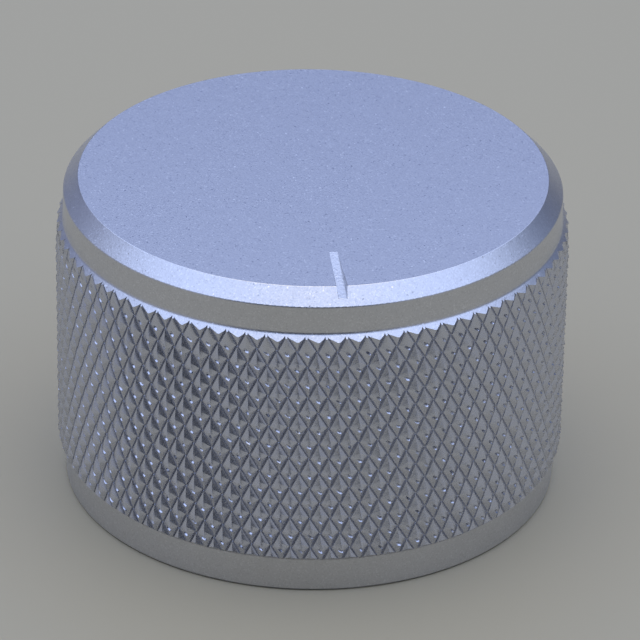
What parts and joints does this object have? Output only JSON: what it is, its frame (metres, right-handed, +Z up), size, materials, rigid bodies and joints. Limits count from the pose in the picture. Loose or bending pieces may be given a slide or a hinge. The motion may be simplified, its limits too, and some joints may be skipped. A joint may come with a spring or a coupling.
{
  "type": "volume knob",
  "caption": "Turned aluminium volume knob: diamond-knurled grip, chamfered blasted top with a slot pointer, nut recess, blind shaft bore and a set screw at the back.",
  "frame": {"origin": "centre of the base face, on the shaft axis", "axes": "+Z up along the shaft axis from the base to the top face, the pointer slot towards -Y, the set screw towards +Y"},
  "size_m": [0.031, 0.031, 0.02],
  "materials": {
    "anodised_aluminium": "bead-blasted, clear anodised",
    "screw_steel": "black oxide"
  },
  "bodies": {
    "root": {"knob_body": "anodised_aluminium", "set_screw": "screw_steel"}
  },
  "joints": []
}
